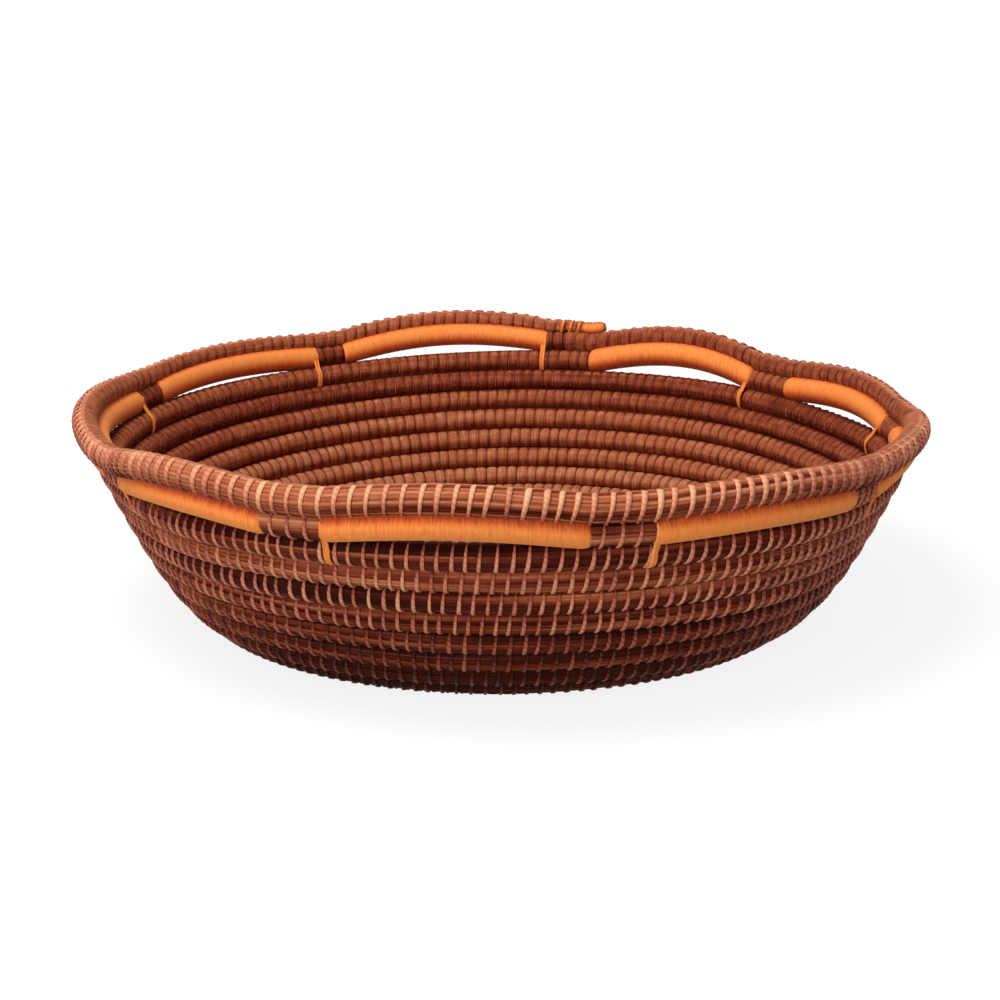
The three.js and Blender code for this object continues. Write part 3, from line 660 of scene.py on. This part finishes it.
def stitches(name, lengths, tops, shade=0.0):
    """One piece with a stitch at each length. tops says whether the tops lie open, as they do on the rim."""
    count = len(lengths)
    rounds = rounds_at(lengths)
    size = bundle_size(rounds)[:, None]
    turn = THREAD_TURNS[None, :]
    inside = np.clip(-np.sin(turn), 0, 1)
    sunk = size * (np.hypot(BUNDLE_ALONG * np.cos(turn), BUNDLE_ACROSS * np.sin(turn)) - pinch_at(turn))
    in_groove = share_between(turn, -1.3, -0.9) * share_between(-turn, 0.05, 0.3)
    distance = sunk + THREAD_CLEAR + THREAD_THICK * (0.5 - SUNK_INSIDE * inside)
    distance = distance - SUNK_IN_GROOVE * in_groove
    along, out = distance * np.cos(turn), distance * np.sin(turn)
    foot, foot_inside = np.array(BITE) * size[..., None], np.array(BITE_INSIDE) * size[..., None]
    along = np.concatenate([foot_inside[:, ::-1, 0], along, foot[:, :, 0]], 1)
    out = np.concatenate([-foot_inside[:, ::-1, 1], out, foot[:, :, 1]], 1)
    full_turn = np.concatenate([-FOOT_TURNS[::-1], THREAD_TURNS, FOOT_TURNS])
    lead = lead_size(lengths)[:, None] * lead_at(full_turn) * chance.uniform(*LEAD_SPREAD, (count, 1))
    middle, along_wall, outward, onward = bundle_at(rounds_at(lengths[:, None] - lead))
    path = middle + along_wall * along[..., None] + outward * out[..., None]
    step_along, step_out = np.gradient(along, axis=1), np.gradient(out, axis=1)
    reach = np.hypot(step_along, step_out)
    raised = along_wall * (-step_out / reach)[..., None] + outward * (step_along / reach)[..., None]
    degrees = np.degrees(full_turn)
    aside = share_between(from_front(rounds), *STITCH_SIDES)[:, None]
    broader = 1 + aside * SIDES_BROADER * share_between(degrees, *STITCH_OUTSIDE)
    wide = np.interp(degrees, *(RIM_THREAD_WIDE if tops else THREAD_WIDE)) * broader
    wide = wide * chance.uniform(*WIDE_SPREAD, (count, 1))
    thick = THREAD_THICK * np.where(np.abs(full_turn) > FOOT_THIN_TURN, FOOT_THIN, 1.0)
    rings = flat_strand(path, onward, raised, wide, thick, THREAD_SIDES)
    rings[..., 2] = np.maximum(rings[..., 2], LOWEST)
    # Painted light and shade round each stitch.
    tone = np.interp(degrees, *(RIM_THREAD_LIGHT_AND_SHADE if tops else THREAD_LIGHT_AND_SHADE)) + shade
    tone = tone + THREADS_DIFFER * chance.normal(size=(count, 1))
    sides_darker = RIM_SIDES_DARKER if tops else SIDES_DARKER
    tone = tone - sides_darker * aside * share_between(degrees, *STITCH_OUTSIDE)
    # Painted shade on the front towards the foot.
    foot_shade = THREAD_FOOT_SHADE * share_between(rounds, *THREAD_FOOT_ROUNDS)[:, None]
    foot_shade = foot_shade * (1 - FOOT_SIDES_LESS * aside)
    tone = tone - foot_shade * share_between(degrees, *THREAD_FOOT_OUTSIDE)
    piece = tubes(name, rings, np.cumsum(reach, axis=1), tone[:, :, None])
    piece.data.materials.append(thread_material)
    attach(piece, "root")
    return piece


# Waxed linen thread: a few fine plies twisted together and rubbed with wax, which leaves a soft gloss and a
# slanting line between the plies. It is copper brown; the rim's stitches are painted paler on top, as
# painted light.
THREAD_PLY_MM = 0.7
WAVE_PERIOD = 0.32  # about how far one wave of the texture reaches
PLY_SHARE = 0.16  # how much the plies add to the tone
thread_material, surface = new_material("waxed_linen_thread")
lay = add_node(thread_material, "ShaderNodeUVMap", {"uv_map": "lay"})
along_thread = add_node(
    thread_material,
    "ShaderNodeMapping",
    inputs={"Vector": lay.outputs["UV"], "Scale": (WAVE_PERIOD / THREAD_PLY_MM, 2 * WAVE_PERIOD, 1)},
)
plies = add_node(
    thread_material,
    "ShaderNodeTexWave",
    {"wave_type": "BANDS", "bands_direction": "DIAGONAL"},
    {"Vector": along_thread.outputs["Vector"], "Scale": 1.0, "Distortion": 0.6, "Detail": 1.0},
)
tone = add_node(thread_material, "ShaderNodeAttribute", {"attribute_name": "tone"})
ply_tone = add_node(
    thread_material,
    "ShaderNodeMath",
    {"operation": "MULTIPLY_ADD"},
    {0: plies.outputs["Fac"], 1: PLY_SHARE, 2: tone.outputs["Fac"]},
)
THREAD_SHADES = [(0, "#2E0D06"), (0.25, "#7E3829"), (0.5, "#B7664F"), (0.75, "#DF906E"), (1, "#F3B486")]
shades = add_node(thread_material, "ShaderNodeValToRGB", inputs={"Fac": ply_tone.outputs["Value"]})
ramp = shades.color_ramp
while len(ramp.elements) < len(THREAD_SHADES):
    ramp.elements.new(0.5)
for element, (place, colour) in zip(ramp.elements, THREAD_SHADES):
    element.position = place
    element.color = linear(colour)
bump = add_node(
    thread_material,
    "ShaderNodeBump",
    inputs={"Height": plies.outputs["Fac"], "Strength": 0.4, "Distance": 0.08 * MM},
)
thread_material.node_tree.links.new(shades.outputs["Color"], surface.inputs["Base Color"])
thread_material.node_tree.links.new(bump.outputs["Normal"], surface.inputs["Normal"])
surface.inputs["Roughness"].default_value = 0.58
surface.inputs["IOR"].default_value = 1.45
surface.inputs["Specular IOR Level"].default_value = 0.15

# The rows of stitches: where each begins and ends in rounds, whether its tops lie open, and its shade.
stitch_rounds = rounds_at(stitch_lengths)
STITCH_ROWS = {
    "starting_knot_stitches": (FIRST_ROUND, ALL_ROUNDS, False, -0.1),
    "base_stitches": (ALL_ROUNDS, WALL_ROUNDS, False, -0.1),
    "lower_wall_stitches": (WALL_ROUNDS, 9 + SEAM_ROUND, False, -0.08),
    "middle_wall_stitches": (9 + SEAM_ROUND, 6 + SEAM_ROUND, False, 0.0),
    "upper_wall_stitches": (6 + SEAM_ROUND, 2 + SEAM_ROUND, False, 0.05),
    "rim_stitches": (1 + SEAM_ROUND, 0.0, True, 0.0),
}
for name, (low_end, top_end, tops, shade) in STITCH_ROWS.items():
    here = (stitch_rounds > top_end) & (stitch_rounds <= low_end)
    stitches(name, stitch_lengths[here], tops, shade)

# The arch wraps.
# Fine orange thread is wound closely round the arch coil, one wrap on each rise. Each winding lies against
# the last as a fine ridge, and the wrap thins out over its last turns at both ends.
WRAP_RADIUS = 4.0
FULLER_WRAPS = {4: 4.2, 5: 4.4}  # the radius of the two that are wound fuller, by number
WRAP_END_RADIUS = 3.1
WRAP_END = 2.6  # length over which a wrap rounds off at its ends
WINDING = 0.56  # the windings are finer on the real wrap; they are drawn as coarse as they need to show
WINDING_RIDGE = 0.016
RIDGE_SPREAD = (0.6, 1.4)
WRAP_CORNERS = 28
WRAP_TONE = 0.52
TURNS_DIFFER = 0.022
DARK_TURN = 0.10  # how much darker a few of the turns are, and their share
DARK_TURNS_SHARE = 0.03
TOP_DARK = 0.5  # the shade next to the round above, and that next to the round below
LOW_DARK = 0.52
BELLY_PAINTED_LIGHT = 0.09  # painted light on the outside between them
wrap_turn = np.linspace(-math.pi, math.pi, WRAP_CORNERS, endpoint=False)


def arch_length(angle):
    """The length along the bundle of the arch coil at an angle in degrees."""
    return float(length_at(arch_round(angle)))


def wound(name, lengths, radii):
    """A close winding round the bundle from the first to the last of the lengths."""
    half_windings = int((lengths[1] - lengths[0]) / WINDING * 2)
    at = np.linspace(lengths[0], lengths[1], half_windings)
    ridge = np.where(np.arange(half_windings) % 2 == 0, WINDING_RIDGE, -WINDING_RIDGE)
    ridge = ridge * chance.uniform(*RIDGE_SPREAD, half_windings)
    ends = np.clip(np.minimum(at - lengths[0], lengths[1] - at) / WRAP_END, 0, 1)
    radius = radii[0] + (radii[1] - radii[0]) * np.sqrt(1 - (1 - ends) ** 2) + ridge
    turn = np.broadcast_to(wrap_turn, (half_windings, WRAP_CORNERS))
    place = np.broadcast_to(rounds_at(at)[:, None], turn.shape)
    rings = beside(place, turn, np.broadcast_to(radius[:, None], turn.shape))
    dark_turn = DARK_TURN * (chance.uniform(size=(half_windings, 1)) < DARK_TURNS_SHARE)
    # Painted shade on the wrap next to the rounds above and below, and painted light on its outside.
    downward = -np.cos(turn)
    low_edge = np.where(turn < 0, share_between(downward, 0.25, 0.95), share_between(downward, 0.86, 1.0))
    edge = TOP_DARK * share_between(np.cos(turn), 0.4, 1.0) + LOW_DARK * low_edge
    edge = edge - BELLY_PAINTED_LIGHT * share_between(downward, 0.1, 0.7) * (turn > 0)
    tone = WRAP_TONE + TURNS_DIFFER * chance.normal(size=(half_windings, 1)) - dark_turn - edge
    piece = tubes(name, rings[None], at[None], tone[None])
    piece.data.materials.append(orange_material)
    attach(piece, "root")
    return piece


# Fine orange cotton thread, close wound: matt, with a faint fuzz that catches the light at the edges.
FIBRE_MM = 0.35
FIBRE_LENGTH_MM = 2.4
FIBRE_SHARE = 0.5
orange_material, surface = new_material("orange_cotton_thread")
lay = add_node(orange_material, "ShaderNodeUVMap", {"uv_map": "lay"})
along_fibres = add_node(
    orange_material,
    "ShaderNodeMapping",
    inputs={"Vector": lay.outputs["UV"], "Scale": (1 / FIBRE_MM, BUNDLE_GIRTH_MM / FIBRE_LENGTH_MM, 1)},
)
fibres = add_node(
    orange_material,
    "ShaderNodeTexNoise",
    {"noise_dimensions": "2D"},
    {"Vector": along_fibres.outputs["Vector"], "Scale": 1.0, "Detail": 3.0},
)
tone = add_node(orange_material, "ShaderNodeAttribute", {"attribute_name": "tone"})
fibre_tone = add_node(
    orange_material,
    "ShaderNodeMath",
    {"operation": "MULTIPLY_ADD"},
    {0: fibres.outputs["Fac"], 1: FIBRE_SHARE, 2: tone.outputs["Fac"]},
)
ORANGE_SHADES = [(0.20, "#9A2E08"), (0.45, "#D85F1A"), (0.75, "#F58A38"), (1.0, "#FDA455")]
shades = add_node(orange_material, "ShaderNodeValToRGB", inputs={"Fac": fibre_tone.outputs["Value"]})
ramp = shades.color_ramp
while len(ramp.elements) < len(ORANGE_SHADES):
    ramp.elements.new(0.5)
for element, (place, colour) in zip(ramp.elements, ORANGE_SHADES):
    element.position = place
    element.color = linear(colour)
bump = add_node(
    orange_material,
    "ShaderNodeBump",
    inputs={"Height": fibres.outputs["Fac"], "Strength": 0.4, "Distance": 0.1 * MM},
)
orange_material.node_tree.links.new(shades.outputs["Color"], surface.inputs["Base Color"])
orange_material.node_tree.links.new(bump.outputs["Normal"], surface.inputs["Normal"])
surface.inputs["Roughness"].default_value = 0.8
surface.inputs["Sheen Weight"].default_value = 0.25
surface.inputs["Sheen Roughness"].default_value = 0.4
surface.inputs["Sheen Tint"].default_value = linear("#FFB070")

for number, (begin, end, rise) in enumerate(ARCHES, start=1):
    radius = FULLER_WRAPS.get(number, WRAP_RADIUS)
    wrap = wound(f"orange_wrap_{number}", (arch_length(begin), arch_length(end)), (WRAP_END_RADIUS, radius))
    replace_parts(wrap, f"arch_wrap_{number}")

# The wrap ties.
# At one end of each wrap its thread goes down over the round below, three turns side by side, and holds the
# arch coil there.
TIE_STRANDS = 3
TIE_STRAND_WIDE = 0.8
TIE_STRAND_STEP = 0.6
TIE_THICK = 0.5
TIE_SIDES = 6
TIE_LEAD = 0.7
TIE_AT = 1.1  # the middle of a tie, from the wrap's end
TIE_FAN = 0.25  # the share by which its turns draw together towards its feet
TIE_SINK = 0.35  # how deep it sinks into the wrap, and how far it stands off the round below
TIE_CLEAR = 0.5
TIE_UP = np.radians([0, 45, 90, 120])
TIE_DOWN = np.radians([58, 80, 102, 120, 136])
TIE_BITE = [(-3.6, 1.9), (-4.3, 0.8)]  # where it goes under, from the middle of the round below
TIE_ROUGH = 0.02
TIE_TONE = 0.45
TIE_TURNS_DIFFER = 0.1


def tie(name, begin):
    """The belt of a tie: from the top of the arch coil, down each side of it and of the round below."""
    upper = WRAP_RADIUS - TIE_SINK
    lower = BUNDLE_ACROSS + TIE_CLEAR
    bite_along, bite_out = np.transpose(TIE_BITE)
    out = np.concatenate([upper * np.sin(TIE_UP), lower * np.sin(TIE_DOWN), bite_out])
    below = np.concatenate([lower * np.cos(TIE_DOWN), bite_along]) - COIL_PITCH
    along = np.concatenate([upper * np.cos(TIE_UP), below])
    out = np.concatenate([-out[:0:-1], out])
    along = np.concatenate([along[:0:-1], along])
    down = np.sign(out) * (COIL_PITCH / 2 - along) / (2 * COIL_PITCH)
    strand = (np.arange(TIE_STRANDS) - (TIE_STRANDS - 1) / 2)[:, None]
    shift = strand * TIE_STRAND_STEP * (1 - TIE_FAN * np.abs(down)) - TIE_LEAD * down + TIE_AT
    place = rounds_at(arch_length(begin) + shift)
    middle, along_wall, outward, onward = bundle_at(place)
    rough = 1 + TIE_ROUGH * chance.normal(size=place.shape)
    path = middle + along_wall * along[:, None] + outward * (out * rough)[..., None]
    step_along, step_out = np.gradient(along), np.gradient(out)
    step = np.hypot(step_along, step_out)
    raised = along_wall * (-step_out / step)[:, None] + outward * (step_along / step)[:, None]
    wide, thick = np.full(place.shape, TIE_STRAND_WIDE), np.full(place.shape, TIE_THICK)
    rings = flat_strand(path, onward, raised, wide, thick, TIE_SIDES)
    tone = TIE_TONE + TIE_TURNS_DIFFER * chance.normal(size=(TIE_STRANDS, 1))
    piece = tubes(name, rings, np.broadcast_to(np.cumsum(step), place.shape), tone[:, :, None])
    piece.data.materials.append(orange_material)
    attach(piece, "root")
    return piece


for number, (begin, end, rise) in enumerate(ARCHES, start=1):
    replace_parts(tie(f"orange_tie_{number}", begin), f"wrap_tie_{number}")

# The gap lashings.
# In the short gap between two wraps three stitches of the waxed thread hold the arch coil down. In the gap
# at the rim's seam two of them hold the arch coil's beginning, and the third holds its end.
GAP_REACH = 116.0  # from the axis to the arch coil
GAP_STITCHES = 3
GAP_CLEAR = 0.9  # from the wrap to where the stitches may begin
GAP_SPARE = 1.6  # and how much shorter than the gap their row is
SEAM_GAP = 5  # the number of the wrap before that gap
SEAM_GAP_STITCHES = (1.5, 4.9)  # from the wrap, and the third from the rim's beginning
SEAM_STITCH = 1.4
GAP_SHADE = 0.05
for number, (begin, end, rise) in enumerate(ARCHES, start=1):
    next_begin = ARCHES[number % len(ARCHES)][0]
    gap = ((next_begin - end) % 360) / 360 * 2 * math.pi * GAP_REACH
    first = arch_length(end) + GAP_CLEAR
    lengths = first + (gap - GAP_SPARE) * (np.arange(GAP_STITCHES) + 0.5) / GAP_STITCHES
    if number == SEAM_GAP:
        on_arch = [arch_length(end) + after for after in SEAM_GAP_STITCHES]
        lengths = np.array([*on_arch, length_at(1 + SEAM_ROUND) + SEAM_STITCH])
    lashing = stitches(f"gap_stitches_{number}", lengths, False, GAP_SHADE)
    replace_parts(lashing, f"gap_lashing_{number}")

# The tail.
# The rim ends in a thin tail at the back. Orange thread is wound over it: open turns first, and then a
# close cup over the very end.
TAIL_CAP_LENGTH = 8.5
TAIL_CAP_THICK = 0.85
TAIL_CAP_START = 0.6  # the share of the tail's radius at which the cup closes
TAIL_THREAD_LENGTH = 9.0
TAIL_THREAD_TURNS = 3
TAIL_THREAD_WIDE = 1.0
TAIL_THREAD_CLEAR = 0.3  # from the cup, and off the needles
TAIL_TURN_STEPS = 20
cap_radii = (TAIL_RADIUS * TAIL_CAP_START, TAIL_RADIUS + TAIL_CAP_THICK)
tail_cap = wound("tail_cap_winding", (0.0, TAIL_CAP_LENGTH), cap_radii)
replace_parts(tail_cap, "tail_cap")

share = np.linspace(0, 1, TAIL_THREAD_TURNS * TAIL_TURN_STEPS + 1)
at = TAIL_CAP_LENGTH + TAIL_THREAD_CLEAR + TAIL_THREAD_LENGTH * share
turn = -share * TAIL_THREAD_TURNS * 2 * math.pi
distance = bundle_size(rounds_at(at)) * BUNDLE_ALONG + TAIL_THREAD_CLEAR
middle, along_wall, outward, onward = bundle_at(rounds_at(at))
raised = along_wall * np.cos(turn)[:, None] + outward * np.sin(turn)[:, None]
wide, thick = np.full(at.shape, TAIL_THREAD_WIDE), np.full(at.shape, TIE_THICK)
rings = flat_strand(middle + raised * distance[:, None], onward, raised, wide, thick, TIE_SIDES)
tail_turns = tubes("tail_thread_winding", rings[None], at[None], TIE_TONE)
tail_turns.data.materials.append(orange_material)
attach(tail_turns, "root")
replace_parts(tail_turns, "tail_thread")

# The floor and the light.
# A plain white floor and backdrop. The camera and mirrors see them white through Light Path, while the
# floor throws little light back up. One broad soft lamp stands above and to the left, one in front, and a
# weaker one low in front.
FLOOR_REACH = 30.0
FLOOR_CORNERS = 96
FLOOR_DROP = 0.0001
FLOOR_BOUNCE = "#8A8A8A"  # its colour for the light that bounces about, and that seen by the camera
FLOOR_SEEN = "#707070"
FLOOR_GLOW = 0.85
FLOOR_GLOW_FAR = 1.0
FLOOR_FAR = 0.9  # metres from the basket where the floor is all white
WORLD_LIGHT = 0.42
LAMPS = {  # where each stands, its size across and its power
    "lamp_above": ((-0.35, -0.3, 1.15), 0.5, 10.0),
    "lamp_front": ((-0.8, -1.1, 0.2), 0.8, 8.0),
    "lamp_low": ((0.35, -1.2, 0.07), 0.3, 3.0),
}


def seen_directly(material):
    """1 for rays from the camera, a mirror or glass, and 0 for the light that bounces about."""
    rays = add_node(material, "ShaderNodeLightPath").outputs
    seen = rays["Is Camera Ray"]
    for kind in ("Is Glossy Ray", "Is Transmission Ray"):
        settings = {"operation": "ADD", "use_clamp": True}
        seen = add_node(material, "ShaderNodeMath", settings, {0: seen, 1: rays[kind]}).outputs["Value"]
    return seen


bpy.ops.object.select_all(action="DESELECT")
bpy.ops.mesh.primitive_circle_add(
    vertices=FLOOR_CORNERS, radius=FLOOR_REACH, fill_type="NGON", location=(0, 0, -FLOOR_DROP)
)
floor = bpy.context.object
floor.name = "floor"
floor_material, surface = new_material("white_floor")
paint = add_node(
    floor_material,
    "ShaderNodeMix",
    {"data_type": "RGBA"},
    {"Factor": seen_directly(floor_material), 6: linear(FLOOR_BOUNCE), 7: linear(FLOOR_SEEN)},
)
floor_material.node_tree.links.new(paint.outputs[2], surface.inputs["Base Color"])
surface.inputs["Roughness"].default_value = 1.0
surface.inputs["Specular IOR Level"].default_value = 0.0
surface.inputs["Emission Color"].default_value = (1, 1, 1, 1)
place = add_node(floor_material, "ShaderNodeTexCoord")
far = add_node(
    floor_material, "ShaderNodeVectorMath", {"operation": "LENGTH"}, {0: place.outputs["Object"]}
)
whitened = add_node(
    floor_material,
    "ShaderNodeMapRange",
    {"interpolation_type": "SMOOTHSTEP"},
    {"Value": far.outputs["Value"], "From Max": FLOOR_FAR, "To Min": FLOOR_GLOW, "To Max": FLOOR_GLOW_FAR},
)
glow = add_node(
    floor_material,
    "ShaderNodeMath",
    {"operation": "MULTIPLY"},
    {0: seen_directly(floor_material), 1: whitened.outputs["Result"]},
)
floor_material.node_tree.links.new(glow.outputs["Value"], surface.inputs["Emission Strength"])
floor.data.materials.append(floor_material)

world = bpy.data.worlds.new("soft_light")
bpy.context.scene.world = world
world.use_nodes = True
sky = world.node_tree.nodes["Background"]
sky.inputs["Color"].default_value = (1, 1, 1, 1)
strength = add_node(
    world,
    "ShaderNodeMath",
    {"operation": "MULTIPLY_ADD"},
    {0: seen_directly(world), 1: 1 - WORLD_LIGHT, 2: WORLD_LIGHT},
)
world.node_tree.links.new(strength.outputs["Value"], sky.inputs["Strength"])

for name, (place, size, power) in LAMPS.items():
    lamp_data = bpy.data.lights.new(name, "AREA")
    lamp_data.shape = "DISK"
    lamp_data.size = size
    lamp_data.energy = power
    lamp = bpy.data.objects.new(name, lamp_data)
    bpy.context.scene.collection.objects.link(lamp)
    lamp.location = place
    lamp.rotation_euler = (-Vector(place)).to_track_quat("-Z", "Y").to_euler()

bpy.context.scene.view_settings.view_transform = "Standard"
